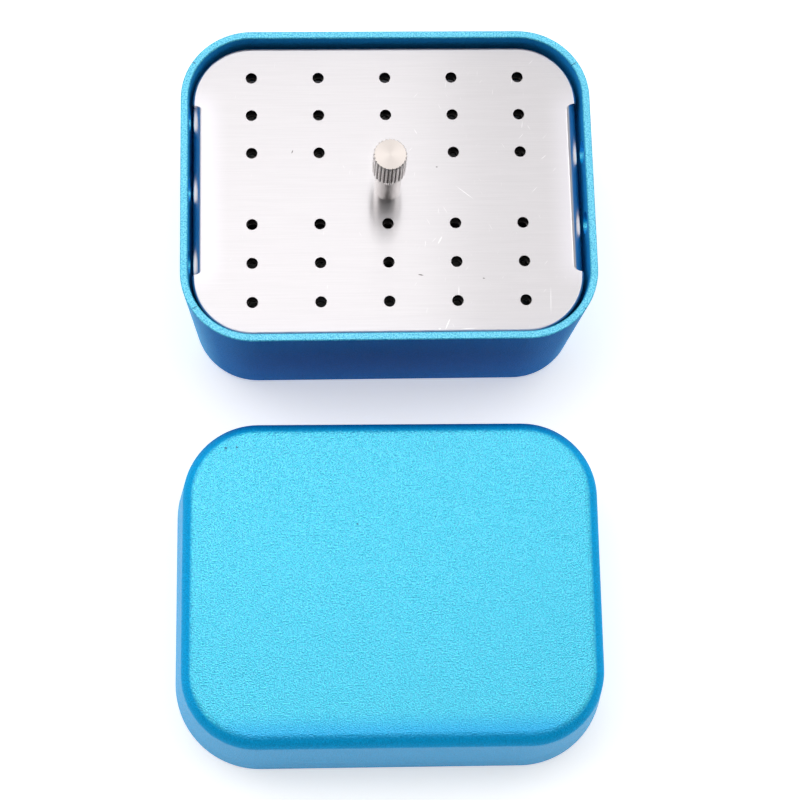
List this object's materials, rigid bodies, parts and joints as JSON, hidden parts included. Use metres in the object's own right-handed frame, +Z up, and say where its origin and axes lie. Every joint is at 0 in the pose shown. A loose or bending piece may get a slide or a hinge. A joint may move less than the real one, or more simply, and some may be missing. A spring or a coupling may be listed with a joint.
{
  "type": "dental bur holder",
  "caption": "Bur holder for the steriliser: rounded blue aluminium box, lift-out perforated tray with a knurled lifting post, and a separate drawn lid beside it.",
  "frame": {"origin": "centre of the box's flat bottom, on the table", "axes": "+Z up, +X to the right of someone facing the front, +Y away from them; the lid lies in front, towards -Y"},
  "size_m": [0.0768, 0.127, 0.046],
  "materials": {
    "blue_anodised": "bead blasted and blue anodised",
    "brushed_sheet": "brushed along its length",
    "turned_steel": "turned and knurled"
  },
  "bodies": {
    "base": {"base_shell": "blue_anodised"},
    "lid": {"lid_shell": "blue_anodised"},
    "tray": {"bur_tray": "brushed_sheet", "lifting_post": "turned_steel", "spacer_ring": "turned_steel", "guide_sheet": "brushed_sheet", "spacer_tube": "turned_steel", "rest_plate": "brushed_sheet", "washer": "turned_steel", "retaining_nut": "turned_steel"}
  },
  "joints": [
    {"name": "lid_lift", "type": "slide", "parent": "base", "child": "lid", "axis": [0, 0, 1], "range_m": [0, 0.05]},
    {"name": "tray_lift", "type": "slide", "parent": "base", "child": "tray", "axis": [0, 0, 1], "range_m": [0, 0.045]}
  ]
}
